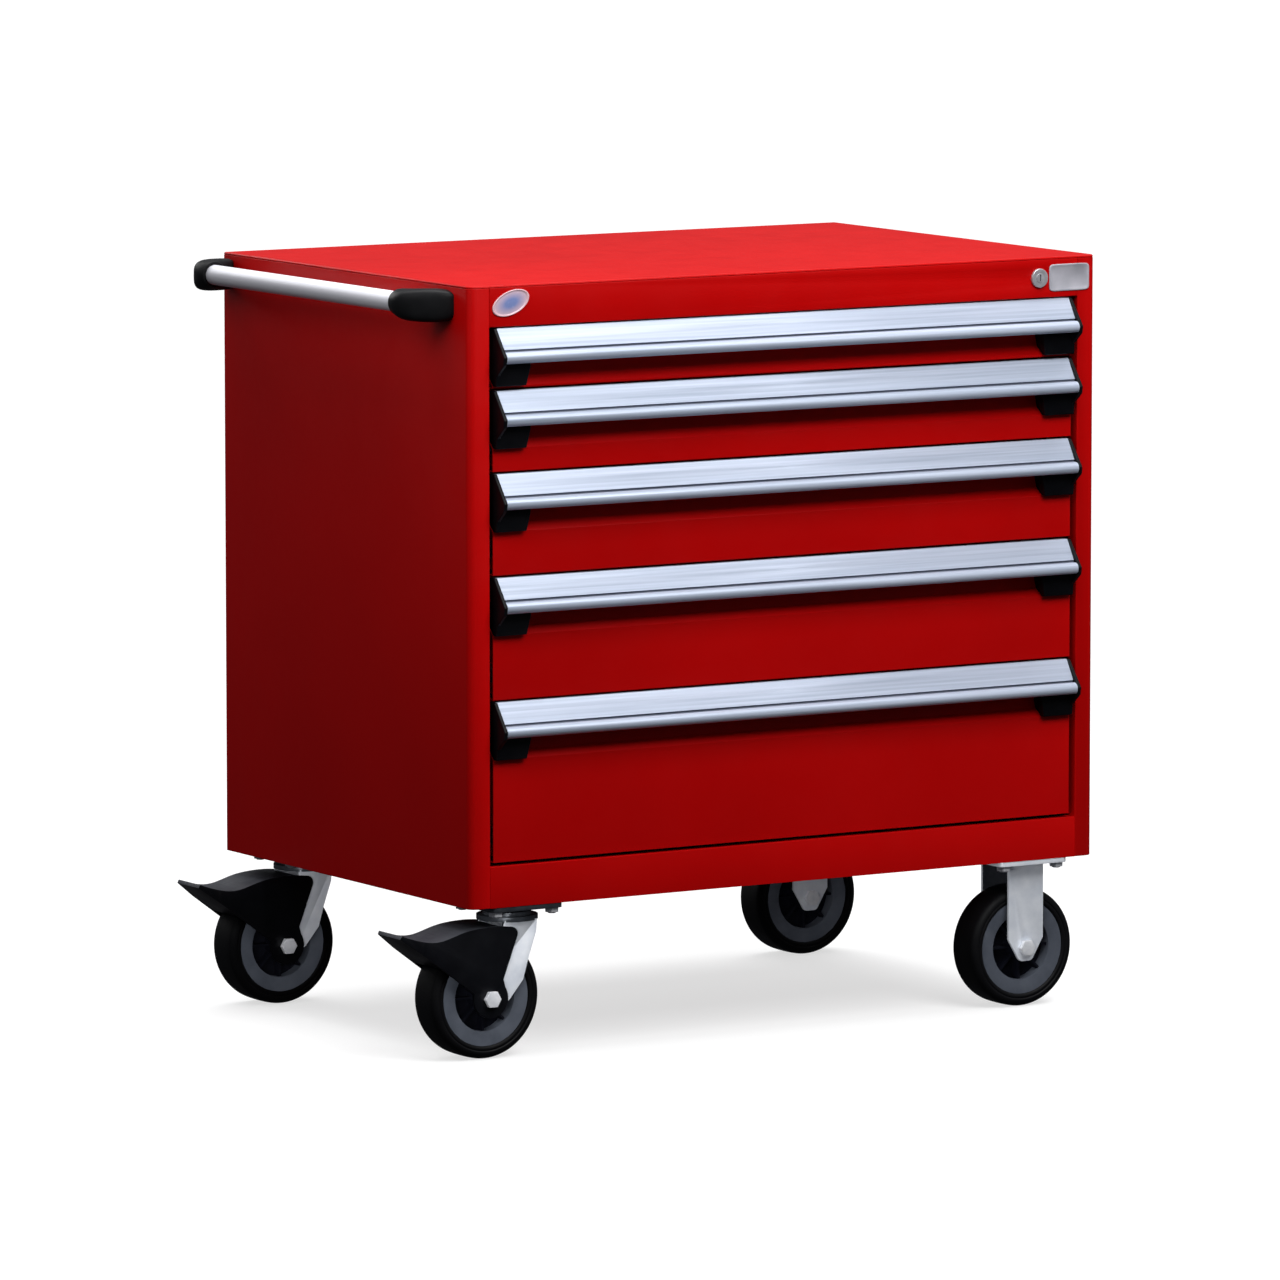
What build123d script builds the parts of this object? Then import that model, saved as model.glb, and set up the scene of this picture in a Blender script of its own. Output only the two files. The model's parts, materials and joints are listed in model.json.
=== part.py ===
from build123d import *
import os

# Rolling tool chest: a welded sheet-steel housing with five full-extension drawers, a keyed lock that
# lifts a rear locking bar, a push handle on the left side, two rigid casters on the right and two
# swivel casters with brake pedals on the left.
# Millimetres. X runs to the right, Y to the back, Z up. The origin is on the floor under the
# housing's centre, and the drawers open towards -Y.

# ---- housing ----
housing_width = 914.4
housing_depth = 609.6
housing_height = 762.0
caster_height = 190.5
sheet = 2.0
top_sheet = 3.0
top_edge_radius = 2.0
corner_radius = 11.0
rail_height = 50.8
post_width = 28.0
post_return = 20.0

# ---- drawers, from the top down ----
drawer_pitches = (76.2, 101.6, 127.0, 152.4, 203.2)
drawer_width = 845.0
drawer_top_gap = 1.8
drawer_bottom_gap = 1.2
last_bottom_gap = 4.7
face_recess = 4.0
face_sheet = 1.5
finger_recess_depth = 10.0
finger_recess_height = 70.5
tray_width = 824.0
tray_sheet = 1.2
tray_length = 542.0
tray_top_drop = 12.0
tray_floor_rise = 5.0
tray_hem = 7.0
catch_width = 16.0
catch_reach = 10.0
catch_lip = 14.0
catch_drop = 3.0

# ---- drawer handles: profiles as (distance in front of the housing, drop below the drawer's top) ----
handle_length = 835.0
handle_wall = 2.4
handle_face = ((-2.5, 0.0), (12.6, 25.4), (10.2, 26.9), (14.0, 28.2))
handle_nose = ((14.0, 28.2), (23.2, 36.0), (19.2, 42.0))
handle_lip = ((17.0, 41.2), (20.6, 36.0), (12.2, 30.8))
handle_back = ((12.2, 30.8), (8.0, 28.2), (-4.0, handle_wall))
cap_face = ((-1.6, 0.0), (24.4, 34.0), (22.8, 43.0), (4.7, 58.0), (4.0, 70.5))
cap_block_face = ((6.7, 42.4), (4.0, 70.5))
cap_block_width = 48.0
cap_block_slant = 5.0
cap_clearance = 0.1

# ---- slides ----
slide_length = 536.0
slide_rise = 26.0
slide_sheet = 1.5
upright_face = 433.0
upright_depth = 32.0
upright_starts = (-262.0, 214.0)
upright_top_gap = 10.0
upright_slot_pitch = 25.4
upright_slot = (12.0, 5.0)
outer_member = {"web": 433.0, "lips": 424.5, "half": 18.5}
middle_member = {"web": 428.6, "lips": 418.5, "half": 15.0}
inner_member = {"web": 412.0, "lips": 425.6, "half": 11.5}

# ---- lock ----
lock_x = 370.7
lock_z = 926.6
lock_flange_radius = 12.0
lock_flange_proud = 3.5
lock_barrel_radius = 9.5
lock_barrel_length = 26.0
plug_radius = 6.2
plug_proud = 3.9
keyway = (1.8, 8.4)
running_clearance = 0.05
lock_travel = 12.7
crank_radius = lock_travel / 2**0.5
crank_pin_radius = 3.0
crank_sheet = 4.0
crank_slot_play = 0.6
torque_rod_radius = 3.0
lock_nut = (24.0, 5.0)
lock_bar_x = 361.7
lock_bar_y = 266.0
lock_bar_width = 24.0
lock_bar_sheet = 4.0
lock_bar_tail = 60.0
finger_width = 14.0
finger_sheet = 2.0
finger_drop = 30.0
finger_height = 15.0
guide_height = 14.0
guide_wall = 3.0
guide_play = 0.5

# ---- push handle ----
push_tube_radius = 12.5
push_tube_wall = 2.0
push_tube_offset = 37.0
push_tube_z = 928.0
push_bracket_height = 41.0
push_bracket_wall = 5.5
push_bracket_drop = 2.0
push_bracket_taper = 14.0
push_bracket_radii = (9.0, 6.0)
front_bracket = {"mouth": -200.0, "shoulder": -230.0, "foot": (-211.0, -268.0), "socket_end": -224.0}
rear_bracket = {"mouth": 262.0, "shoulder": 284.0, "foot": (214.0, 300.0), "socket_end": 284.0}

# ---- badge and label ----
badge_centre = (-399.5, 930.5)
badge_tilt = 20.0
badge_half = (27.0, 14.5)
badge_rim = 3.0
badge_height = 1.8
label_centre = (416.0, 926.0)
label_size = (60.0, 34.0)
label_height = 1.2

# ---- casters ----
wheel_radius = 76.2
wheel_width = 50.8
tyre_shoulder = 7.0
tyre_flank = 9.0
tread_inset = 4.0
bead_inset = 2.0
rim_radius = 60.0
ring_inner_radius = 42.0
ring_insets = (5.0, 3.0)
hub_radius = 16.0
hub_width = 54.0
web_thickness = 8.0
rib_thickness = 3.2
rib_inset = 9.0
rib_count = 8
axle_radius = 6.0
axle_hexagon = 19.0
axle_head_height = 6.0
axle_nut_height = 7.0
axle_end = 9.0
washer_gap = 0.4
wheel_track = 253.0
rigid_x = 369.0
kingpin_x = -375.0
trail = 44.0
fork_inner = 28.0
fork_sheet = 4.0
fork_hole_play = 0.1
fork_eye_radius = 17.0
crown_height = 168.5
crown_radius = 38.0
crown_sheet = 6.0
lower_race = (30.0, 10.5)
upper_race = (34.0, 3.1)
bracket_half_length = 26.0
bracket_taper_rise = 12.0
bracket_foot = (9.0, 17.0)
bracket_foot_radius = 7.0
plate_corner = 8.0
plate_side = 102.0
plate_thickness = 6.0
plate_hole_spacing = 80.0
mount_bolt_radius = 5.0
mount_bolt_hexagon = 16.0
mount_bolt_head = 6.0
mount_bolt_end = 7.6
mount_bolt_hole_play = 0.3

# ---- fork leg and brake pedal, about the axle: x towards the kingpin, z up ----
fork_leg_edge = ((22.0, 94.3), (68.0, 94.3), (66.5, 78.0), (55.5, 46.0), (48.0, 20.0), (28.0, -4.0),
                 (0.0, -17.0), (-17.0, 0.0))
pedal_inner = 32.8
pedal_outer = 36.2
pedal_eye_radius = 24.0
hood_radius = 81.5
pedal_top = ((28.0, 87.0), (-10.0, 88.6), (-42.0, 84.0), (-74.0, 76.0), (-98.0, 78.5), (-121.0, 86.0))
pedal_bill = ((-123.5, 82.0), (-109.0, 71.0), (-92.0, 58.5))
pedal_plate = ((-92.0, 58.5), (-24.0, 8.0), (-24.0, -2.0), (24.0, -2.0), (17.5, 23.0), (37.5, 76.0))
pedal_corner = ((37.5, 76.0), (36.5, 82.8), (28.0, 87.0))
pedal_plan = ((60.0, 40.0), (-84.0, 40.0), (-106.0, 33.0), (-128.0, 26.0))
pedal_fork_room = 14.0
pedal_fork_room_height = 20.0
pedal_reach = 150.0

# ---- worked out ----
half_width = housing_width / 2
front_y = -housing_depth / 2
back_y = housing_depth / 2
base_z = caster_height
top_z = base_z + housing_height
shell_top = top_z - top_sheet
opening_top = top_z - rail_height
opening_half = half_width - post_width
opening_bottom = opening_top - sum(drawer_pitches)
face_y = front_y + face_recess
recess_y = face_y + finger_recess_depth
tray_back = recess_y + tray_length
slide_start = front_y + post_return
slide_ys = (slide_start, slide_start + slide_length)
lock_bar_ys = (lock_bar_y, lock_bar_y + lock_bar_sheet)
crank_step = crank_radius * 0.5**0.5
push_tube_x = -half_width - push_tube_offset
plate_bottom = base_z - plate_thickness
drawer_count = len(drawer_pitches)
through = 1.0


# ---- shape helpers ----
def block(xs, ys, zs):
    """Box between pairs of coordinates."""
    size = (xs[1] - xs[0], ys[1] - ys[0], zs[1] - zs[0])
    return Pos(sum(xs) / 2, sum(ys) / 2, sum(zs) / 2) * Box(*size)


def along_x(face, x0, x1):
    """Sweep a face drawn as (y, z) from x0 to x1."""
    plane = Plane(origin=(x0, 0, 0), x_dir=(0, 1, 0), z_dir=(1, 0, 0))
    return extrude(plane * face, x1 - x0)


def along_y(face, y0, y1):
    """Sweep a face drawn as (x, z) from y0 to y1."""
    plane = Plane(origin=(0, y1, 0), x_dir=(1, 0, 0), z_dir=(0, -1, 0))
    return extrude(plane * face, y1 - y0)


def along_z(face, z0, z1):
    """Sweep a face drawn as (x, y) from z0 to z1."""
    return extrude(Pos(0, 0, z0) * face, z1 - z0)


def polygon(*points):
    return make_face(Polyline(*points, close=True))


def bar_y(x, z, radius, y0, y1):
    """Round bar along Y."""
    return along_y(Pos(x, z) * Circle(radius), y0, y1)


def hexagon(x, z, across_flats):
    """Outline of a hexagonal head or nut."""
    return Pos(x, z) * RegularPolygon(across_flats / 2, 6, major_radius=False)


def revolve_about_y(section):
    """Turn a section drawn as (radius, y) round the Y axis."""
    return revolve(section, Axis.Y)


def both_sides(solid):
    """A solid and its mirror image across the housing's middle plane."""
    return [solid, mirror(solid, Plane.YZ)]


def fused(first, *others):
    for other in others:
        first = first + other
    return first


def write(name, *solids):
    """One STEP file for one node: a single solid, or a group of separate ones."""
    bodies = [body for solid in solids for body in solid.solids()]
    shape = bodies[0] if len(bodies) == 1 else Compound(children=bodies)
    shape.label = name
    export_step(shape, f"parts/{name}.step")


# ---- housing shell ----
def housing_plan(inset):
    """Plan of the housing with round front corners, moved in by a distance."""
    x = half_width - inset
    y = front_y + inset
    radius = corner_radius - inset
    mid = radius * (1 - 0.5**0.5)
    outline = [
        Line((-x, back_y), (-x, y + radius)),
        ThreePointArc((-x, y + radius), (-x + mid, y + mid), (-x + radius, y)),
        Line((-x + radius, y), (x - radius, y)),
        ThreePointArc((x - radius, y), (x - mid, y + mid), (x, y + radius)),
        Line((x, y + radius), (x, back_y)),
        Line((x, back_y), (-x, back_y)),
    ]
    return make_face(outline)


def post_return_strip(zs):
    """Inward return of the left post, between two heights."""
    return block((-opening_half - sheet, -opening_half), (front_y, front_y + post_return), zs)


def side_panel():
    """Left side, wrapped round the front corner into the post and its inward return."""
    levels = (base_z, shell_top)
    wrapped = along_z(housing_plan(0) - housing_plan(sheet), *levels)
    wrapped = wrapped & block((-half_width, -opening_half), (front_y, back_y), levels)
    return wrapped + post_return_strip(levels)


def back_panel():
    x = half_width - sheet
    return block((-x, x), (back_y - sheet, back_y), (base_z, shell_top))


def top_panel():
    panel = along_z(housing_plan(0), shell_top, top_z)
    upper = panel.faces().sort_by(Axis.Z)[-1].edges()
    return fillet(upper, top_edge_radius)


def plate_hole_places():
    """Bolt places on one caster plate, about its centre."""
    half = plate_hole_spacing / 2
    return [(x, y) for x in (-half, half) for y in (-half, half)]


def bolt_places():
    """Centres of the sixteen caster bolts."""
    plates = [(x, y) for x in (kingpin_x, rigid_x) for y in (-wheel_track, wheel_track)]
    return [(x + dx, y + dy) for x, y in plates for dx, dy in plate_hole_places()]


def bolt_hole(x, y, z):
    """Cutter for a caster bolt's clearance hole through the sheet at a height."""
    return Pos(x, y, z) * Cylinder(mount_bolt_radius + mount_bolt_hole_play, 4 * plate_thickness)


def base_pan():
    """Floor sheet with the bottom front rail turned up from it."""
    levels = (base_z, base_z + top_sheet)
    floor = along_z(housing_plan(sheet), *levels)
    floor = floor & block((-half_width, half_width), (front_y, back_y - sheet), levels)
    for strip in both_sides(post_return_strip(levels)):
        floor = floor - strip
    xs = (-opening_half, opening_half)
    rail = block(xs, (front_y, front_y + sheet), (base_z, opening_bottom))
    lip = block(xs, (front_y, front_y + post_return), (opening_bottom - sheet, opening_bottom))
    pan = fused(floor, rail, lip)
    for x, y in bolt_places():
        pan = pan - bolt_hole(x, y, base_z)
    return pan


def front_top_rail():
    """Rail over the drawers, with a stiffening flange and the hole for the lock."""
    xs = (-opening_half, opening_half)
    web = block(xs, (front_y, front_y + sheet), (opening_top, shell_top))
    flange = block(xs, (front_y, front_y + post_return), (opening_top, opening_top + sheet))
    hole = bar_y(lock_x, lock_z, lock_barrel_radius + 0.2, front_y - through, front_y + sheet + through)
    return web + flange - hole


# ---- drawer levels ----
def drawer_levels(index):
    """Heights of one drawer, counted from the top."""
    top_line = opening_top - sum(drawer_pitches[:index])
    bottom_gap = last_bottom_gap if index == drawer_count - 1 else drawer_bottom_gap
    top = top_line - drawer_top_gap
    floor = top_line - drawer_pitches[index] + bottom_gap + tray_floor_rise
    return {
        "top": top,
        "bottom": floor - tray_floor_rise,
        "floor": floor,
        "tray_top": top - tray_top_drop,
        "slide": floor + slide_rise,
        "catch": top - tray_top_drop - catch_drop,
    }


# ---- slides ----
def channel(member, z):
    """Right-hand slide member: an upright web with a lip along its top and bottom edges."""
    web_x, lip_x, half = member["web"], member["lips"], member["half"]
    inward = -slide_sheet if lip_x < web_x else slide_sheet
    web = block(sorted((web_x, web_x + inward)), slide_ys, (z - half, z + half))
    lips = [block(sorted((web_x, lip_x)), slide_ys, (z + low, z + low + slide_sheet))
            for low in (-half, half - slide_sheet)]
    return fused(web, *lips)


def slide_members(member, z):
    return both_sides(channel(member, z))


def outer_members():
    members = []
    for index in range(drawer_count):
        members.extend(slide_members(outer_member, drawer_levels(index)["slide"]))
    return members


def slide_uprights():
    """Four slotted channels on the side panels that carry the slides."""
    zs = (base_z + top_sheet, opening_top - upright_top_gap)
    wall = half_width - sheet
    slot_width, slot_height = upright_slot
    uprights = []
    for start in upright_starts:
        column = block((upright_face, wall), (start, start + upright_depth), zs)
        hollow_ys = (start + slide_sheet, start + upright_depth - slide_sheet)
        column = column - block((upright_face + slide_sheet, wall), hollow_ys, zs)
        middle = start + upright_depth / 2
        slot_xs = (upright_face - through, upright_face + slide_sheet + through)
        slot_ys = (middle - slot_width / 2, middle + slot_width / 2)
        for step in range(1, int((zs[1] - zs[0]) / upright_slot_pitch)):
            z = zs[0] + step * upright_slot_pitch
            column = column - block(slot_xs, slot_ys, (z, z + slot_height))
        uprights.extend(both_sides(column))
    return uprights


# ---- drawers ----
def drawer_front(levels):
    """Folded front sheet: flat face below, slant and finger recess behind the handle."""
    top, bottom, t = levels["top"], levels["bottom"], face_sheet
    fold = top - finger_recess_height
    slant_top = fold + finger_recess_depth
    bend = 0.4 * t
    section = polygon(
        (recess_y, top), (recess_y, slant_top), (face_y, fold), (face_y, bottom),
        (recess_y + t, bottom), (recess_y + t, bottom + t), (face_y + t, bottom + t),
        (face_y + t, fold - bend), (recess_y + t, slant_top - bend), (recess_y + t, top))
    return along_x(section, -drawer_width / 2, drawer_width / 2)


def rear_catch(levels):
    """Tab behind the tray, with a lip that the locking bar's finger hooks."""
    xs = (lock_bar_x - catch_width / 2, lock_bar_x + catch_width / 2)
    z = levels["catch"]
    end = tray_back + catch_reach
    tab = block(xs, (tray_back - tray_sheet, end), (z, z + sheet))
    lip = block(xs, (end - sheet, end), (z - catch_lip, z + sheet))
    return tab + lip


def tray(levels):
    """Drawer tray with hemmed top edges, folded front and rear catch."""
    t = tray_sheet
    x = tray_width / 2
    ys = (recess_y, tray_back)
    floor, top = levels["floor"], levels["tray_top"]
    body = block((-x, x), ys, (floor, top))
    body = body - block((-x + t, x - t), (ys[0] + face_sheet, ys[1] - t), (floor + t, top))
    back_hem = block((-x, x), (ys[1] - tray_hem, ys[1]), (top - t, top))
    side_hems = both_sides(block((x - tray_hem, x), ys, (top - t, top)))
    return fused(body, back_hem, *side_hems, drawer_front(levels), rear_catch(levels))


def placed(profile, top):
    """A front profile's points as (y, z) for a drawer whose top is at a height."""
    return [(front_y - ahead, top - drop) for ahead, drop in profile]


def drawer_handle(top):
    """Aluminium handle extrusion: mounting flange, slanted label face, groove and rounded lip."""
    nose, lip = placed(handle_nose, top), placed(handle_lip, top)
    outline = [
        Polyline((recess_y, top), *placed(handle_face, top)),
        ThreePointArc(*nose),
        Line(nose[-1], lip[0]),
        ThreePointArc(*lip),
        Polyline(*placed(handle_back, top), (recess_y, top - handle_wall), (recess_y, top)),
    ]
    return along_x(make_face(outline), -handle_length / 2, handle_length / 2)


def handle_cap(top):
    """Moulded end cap: an end plate that follows the handle and a block that closes the recess."""
    fold = top - finger_recess_height
    outer = drawer_width / 2 - 2 * cap_clearance
    inner = outer - cap_block_width
    recess_edge = [(face_y, fold), (recess_y, fold + finger_recess_depth)]
    plate_face = polygon((recess_y, top), *placed(cap_face, top), *recess_edge)
    plate = along_x(plate_face, handle_length / 2 + cap_clearance, outer)
    block_edge = placed(cap_block_face, top)
    block_top = block_edge[0][1]
    lower = along_x(polygon((recess_y, block_top), *block_edge, *recess_edge), inner, outer)
    slant = polygon((inner - through, fold - through), (inner + cap_block_slant, fold - through),
                    (inner - through, block_top))
    return plate + (lower - along_y(slant, block_edge[0][0] - through, recess_y + through))


# ---- lock ----
def lock_body():
    """Fixed lock cylinder with its front flange and rear nut."""
    flange = bar_y(lock_x, lock_z, lock_flange_radius, front_y - lock_flange_proud, front_y)
    flange = fillet(flange.faces().sort_by(Axis.Y)[0].edges(), lock_flange_proud / 3)
    barrel = bar_y(lock_x, lock_z, lock_barrel_radius, front_y - through, front_y + lock_barrel_length)
    across, height = lock_nut
    nut = along_y(hexagon(lock_x, lock_z, across), front_y + sheet, front_y + sheet + height)
    bore = bar_y(lock_x, lock_z, plug_radius + running_clearance, front_y - 2 * lock_flange_proud,
                 front_y + lock_barrel_length + through)
    return fused(flange, barrel, nut) - bore


def link(first, second):
    """Link plate outline: two discs (x, z, radius) joined by straight flanks."""
    (x0, z0, r0), (x1, z1, r1) = first, second
    dx, dz = x1 - x0, z1 - z0
    span = (dx * dx + dz * dz) ** 0.5
    nx, nz = -dz / span, dx / span
    flanks = polygon((x0 + nx * r0, z0 + nz * r0), (x1 + nx * r1, z1 + nz * r1),
                     (x1 - nx * r1, z1 - nz * r1), (x0 - nx * r0, z0 - nz * r0))
    return flanks + Pos(x0, z0) * Circle(r0) + Pos(x1, z1) * Circle(r1)


def lock_plug():
    """Turning plug with keyway, torque rod to the back and crank pin for the locking bar."""
    crank_y = lock_bar_y - crank_sheet - 2
    plug_end = front_y + lock_barrel_length
    plug = bar_y(lock_x, lock_z, plug_radius, front_y - plug_proud, plug_end)
    half_width_key, half_height_key = keyway[0] / 2, keyway[1] / 2
    slot = block((lock_x - half_width_key, lock_x + half_width_key),
                 (front_y - plug_proud - through, front_y + plug_proud),
                 (lock_z - half_height_key, lock_z + half_height_key))
    rod = bar_y(lock_x, lock_z, torque_rod_radius, plug_end - through, crank_y + through)
    pin_x, pin_z = lock_x - crank_step, lock_z - crank_step
    outline = link((lock_x, lock_z, 2 * torque_rod_radius), (pin_x, pin_z, crank_pin_radius + 2))
    arm = along_y(outline, crank_y, crank_y + crank_sheet)
    pin = bar_y(pin_x, pin_z, crank_pin_radius, crank_y + crank_sheet - through,
                lock_bar_ys[1] + crank_sheet)
    return fused(plug - slot, rod, arm, pin)


def lock_bar():
    """Rear locking bar: a strip with a cross slot for the crank pin and one finger per drawer."""
    xs = (lock_bar_x - lock_bar_width / 2, lock_bar_x + lock_bar_width / 2)
    pin_z = lock_z - crank_step
    half_gap = crank_pin_radius + crank_slot_play
    bottom = drawer_levels(drawer_count - 1)["catch"] - lock_bar_tail
    top = pin_z + half_gap + 2 * crank_pin_radius
    strip = block(xs, lock_bar_ys, (bottom, top))
    slot = block((lock_x - crank_radius - lock_bar_sheet, lock_x - crank_step + lock_bar_sheet),
                 (lock_bar_ys[0] - through, lock_bar_ys[1] + through),
                 (pin_z - half_gap, pin_z + half_gap))
    finger_xs = (lock_bar_x - finger_width / 2, lock_bar_x + finger_width / 2)
    tip_y = tray_back + finger_sheet
    fingers = []
    for index in range(drawer_count):
        z = drawer_levels(index)["catch"] - finger_drop
        arm = block(finger_xs, (tip_y, lock_bar_y + through), (z, z + finger_sheet))
        tip = block(finger_xs, (tip_y, tip_y + 1.5 * finger_sheet), (z, z + finger_height))
        fingers.append(arm + tip)
    return fused(strip - slot, *fingers)


def lock_bar_guides():
    """Two brackets on the back panel that the locking bar slides in, beside drawers 3 and 5."""
    half = lock_bar_width / 2
    inner_back = back_y - sheet
    guides = []
    for index in (2, 4):
        z = drawer_levels(index)["catch"] + guide_height + 2
        zs = (z, z + guide_height)
        outer_half = half + guide_wall
        way_half = half + guide_play
        outer = block((lock_bar_x - outer_half, lock_bar_x + outer_half),
                      (lock_bar_ys[0] - guide_wall, inner_back), zs)
        way = block((lock_bar_x - way_half, lock_bar_x + way_half),
                    (lock_bar_ys[0] - guide_play, lock_bar_ys[1] + guide_play), zs)
        hollow = block((lock_bar_x - way_half, lock_bar_x + way_half),
                       (lock_bar_ys[1] + guide_wall, inner_back), zs)
        guides.append(outer - way - hollow)
    return guides


# ---- push handle ----
def push_tube():
    ends = (front_bracket["socket_end"], rear_bracket["socket_end"])
    tube = bar_y(push_tube_x, push_tube_z, push_tube_radius, *ends)
    return tube - bar_y(push_tube_x, push_tube_z, push_tube_radius - push_tube_wall, *ends)


def push_bracket(bracket):
    """Moulded bracket: a socket for the tube that runs into a foot on the side panel."""
    mouth, shoulder = bracket["mouth"], bracket["shoulder"]
    foot_start, foot_end = bracket["foot"]
    reach = push_tube_radius + push_bracket_wall
    outer_x, inner_x = push_tube_x - reach, push_tube_x + reach
    plan = polygon((outer_x, mouth), (outer_x, shoulder),
                   (outer_x + push_bracket_taper, (shoulder + foot_end) / 2),
                   (-half_width, foot_end), (-half_width, foot_start), (inner_x, mouth))
    middle_z = push_tube_z - push_bracket_drop
    half = push_bracket_height / 2
    body = along_z(plan, middle_z - half, middle_z + half)
    upright_radius, rim_radius_outer = push_bracket_radii
    body = fillet(body.edges().filter_by(Axis.Z).sort_by(Axis.X)[:3], upright_radius)
    for face in (-1, 0):
        rim = body.faces().sort_by(Axis.Z)[face].edges().sort_by(Axis.X)[:2]
        body = fillet(rim, rim_radius_outer)
    outside = through if mouth > shoulder else -through
    socket = sorted((mouth + outside, bracket["socket_end"]))
    return body - bar_y(push_tube_x, push_tube_z, push_tube_radius + running_clearance, *socket)


# ---- front trim ----
def badge_plate():
    """Plain oval plate with a raised rim, set at a tilt."""
    centre = Pos(*badge_centre) * Rot(0, 0, badge_tilt)
    half_x, half_z = badge_half
    plate = along_y(centre * Ellipse(half_x, half_z), front_y - badge_height, front_y)
    field = along_y(centre * Ellipse(half_x - badge_rim, half_z - badge_rim),
                    front_y - badge_height - through, front_y - badge_height * 2 / 3)
    return plate - field


def label_plate():
    face = Pos(*label_centre) * RectangleRounded(*label_size, label_height)
    return along_y(face, front_y - label_height, front_y)


# ---- wheels, drawn about the axle ----
def wheel_tyre():
    """Solid tyre with rounded shoulders and flanks that lean in to the rim."""
    half = wheel_width / 2
    flank = rim_radius + tyre_flank
    body = polygon((rim_radius, -half + bead_inset), (flank, -half), (flank, half),
                   (rim_radius, half - bead_inset))
    tread_depth = wheel_radius - rim_radius - tread_inset
    tread = Pos(wheel_radius - tread_depth / 2, 0) * Rectangle(tread_depth, wheel_width)
    tread = fillet(tread.vertices().sort_by(Axis.X)[-2:], tyre_shoulder)
    return revolve_about_y(body + tread)


def wheel_core():
    """Rim ring, recessed web with ribs, and hub with its bore."""
    half = wheel_width / 2
    inner, outer = ring_insets
    ring = polygon((ring_inner_radius, -half + inner), (rim_radius, -half + outer),
                   (rim_radius, half - outer), (ring_inner_radius, half - inner))
    overlap = 2.0
    web_width = ring_inner_radius - hub_radius + 2 * overlap
    web = Pos((hub_radius + ring_inner_radius) / 2, 0) * Rectangle(web_width, web_thickness)
    hub = Pos(hub_radius / 2, 0) * Rectangle(hub_radius, hub_width)
    core = fused(revolve_about_y(ring), revolve_about_y(web), revolve_about_y(hub))
    rib = block((hub_radius - overlap, ring_inner_radius + overlap), (-half + rib_inset, half - rib_inset),
                (-rib_thickness / 2, rib_thickness / 2))
    ribs = [Rotation(0, 360 / rib_count * step, 0) * rib for step in range(rib_count)]
    bore = bar_y(0, 0, axle_radius + running_clearance, -hub_width, hub_width)
    return fused(core, *ribs) - bore


def axle_bolt(reach):
    """Hex bolt along Y with its nut, outside the outermost plates."""
    shank = bar_y(0, 0, axle_radius, -reach - through, reach + axle_end)
    grip = reach + washer_gap
    head = along_y(hexagon(0, 0, axle_hexagon), -grip - axle_head_height, -grip)
    nut = along_y(hexagon(0, 0, axle_hexagon), grip, grip + axle_nut_height)
    return fused(shank, head, nut)


# ---- caster frames ----
def leg_pair(face, axle_z):
    """Two plates beside the wheel, bored for the axle bolt."""
    legs = []
    for side in (-1, 1):
        ys = sorted((side * fork_inner, side * (fork_inner + fork_sheet)))
        hole = bar_y(0, axle_z, axle_radius + fork_hole_play, ys[0] - through, ys[1] + through)
        legs.append(along_y(face, *ys) - hole)
    return legs


def swivel_fork():
    """Swivel head about the axle: two legs, the crown plate over the wheel and the lower race."""
    crown_z = crown_height - wheel_radius
    crown = along_z(Pos(trail, 0) * Circle(crown_radius), crown_z, crown_z + crown_sheet)
    race_radius, race_top = lower_race
    race = along_z(Pos(trail, 0) * Circle(race_radius), crown_z + crown_sheet / 2, crown_z + race_top)
    return fused(crown, race, *leg_pair(polygon(*fork_leg_edge) + Circle(fork_eye_radius), 0))


def caster_plate():
    """Square top plate with its four bolt holes."""
    plate = Pos(0, 0, plate_bottom + plate_thickness / 2) * Box(plate_side, plate_side, plate_thickness)
    plate = fillet(plate.edges().filter_by(Axis.Z), plate_corner)
    for x, y in plate_hole_places():
        plate = plate - bolt_hole(x, y, plate_bottom)
    return plate


def swivel_plate():
    """Top plate with the upper race under it."""
    radius, depth = upper_race
    race = along_z(Circle(radius), plate_bottom - depth, plate_bottom + depth)
    return caster_plate() + race


def rigid_bracket():
    """Fixed caster bracket: top plate with a folded channel down to the axle."""
    half = bracket_half_length
    foot_half, foot_drop = bracket_foot
    leg = polygon((-half, plate_bottom), (half, plate_bottom), (half, wheel_radius + bracket_taper_rise),
                  (foot_half, wheel_radius - foot_drop), (-foot_half, wheel_radius - foot_drop),
                  (-half, wheel_radius + bracket_taper_rise))
    leg = fillet(leg.vertices().sort_by(Axis.Y)[:2], bracket_foot_radius)
    web = block((-half, half), (-fork_inner, fork_inner), (plate_bottom - fork_sheet, plate_bottom))
    return fused(caster_plate(), web, *leg_pair(leg, wheel_radius))


def brake_pedal():
    """Moulded brake pedal: side plates on the axle, a hood over the wheel and a raised toe tip."""
    outline = [
        Spline(*pedal_top),
        Line(pedal_top[-1], pedal_bill[0]),
        Spline(*pedal_bill),
        Polyline(*pedal_plate),
        ThreePointArc(*pedal_corner),
    ]
    body = along_y(make_face(outline) + Circle(pedal_eye_radius), -pedal_outer, pedal_outer)
    heights = (-pedal_reach, pedal_reach)
    mirrored = [(x, -y) for x, y in reversed(pedal_plan)]
    body = body & along_z(polygon(*pedal_plan, *mirrored), *heights)
    inner = (-pedal_inner, pedal_inner)
    wheel_room = bar_y(0, 0, hood_radius, *inner)
    fork_room = block((pedal_fork_room, pedal_reach), inner, heights)
    lower_room = block((-hood_radius, pedal_fork_room), inner, (-pedal_reach, pedal_fork_room_height))
    body = body - wheel_room - fork_room - lower_room
    return body - bar_y(0, 0, axle_radius + running_clearance, -pedal_reach, pedal_reach)


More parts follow.
